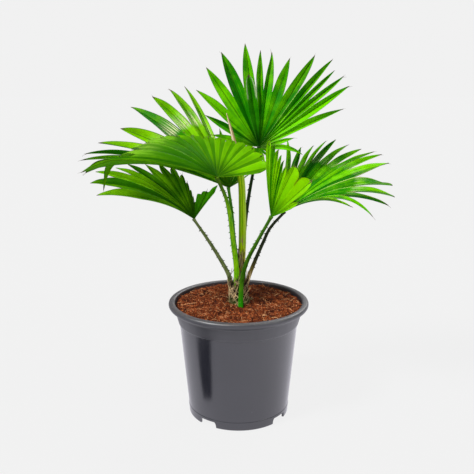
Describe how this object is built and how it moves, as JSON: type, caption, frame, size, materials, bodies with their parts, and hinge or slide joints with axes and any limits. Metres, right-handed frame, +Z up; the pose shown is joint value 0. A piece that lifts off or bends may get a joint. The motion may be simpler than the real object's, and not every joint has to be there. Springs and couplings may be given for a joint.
{
  "type": "potted fan palm",
  "caption": "Young fan palm with pleated, deeply cut fan leaves on thorny stalks and an unopened spear leaf, growing from soil in a round tapered nursery pot.",
  "frame": {"origin": "centre of the pot's foot, on the surface the pot stands on", "axes": "+Z up along the pot's axis, -Y towards the viewer of the picture, +X to that viewer's right"},
  "size_m": [0.4072, 0.232, 0.4975],
  "materials": {
    "pot_plastic": "satin moulded dark grey plastic with soft reflections",
    "coir_soil": "matt reddish-brown coir crumbs and fibres",
    "stem": "matt brown, mossy green near the soil",
    "fibre_sheath": "dry straw and brown fibres",
    "spear_leaf": "satin yellow-green folded leaf with a dry beige tip",
    "leaf_stalk": "satin green stalk with dark brown thorns",
    "leaf_blade": "satin saturated green, thin and translucent, with paler ribs"
  },
  "bodies": {
    "root": {"pot": "pot_plastic", "soil": "coir_soil", "stem_base": "stem", "sheath": "fibre_sheath", "spear": "spear_leaf", "stalk_top": "leaf_stalk", "stalk_front": "leaf_stalk", "stalk_rear": "leaf_stalk", "stalk_left": "leaf_stalk", "stalk_fore_right": "leaf_stalk", "stalk_right": "leaf_stalk", "blade_top": "leaf_blade", "blade_front": "leaf_blade", "blade_rear": "leaf_blade", "blade_left": "leaf_blade", "blade_fore_right": "leaf_blade", "blade_right": "leaf_blade"}
  },
  "joints": []
}
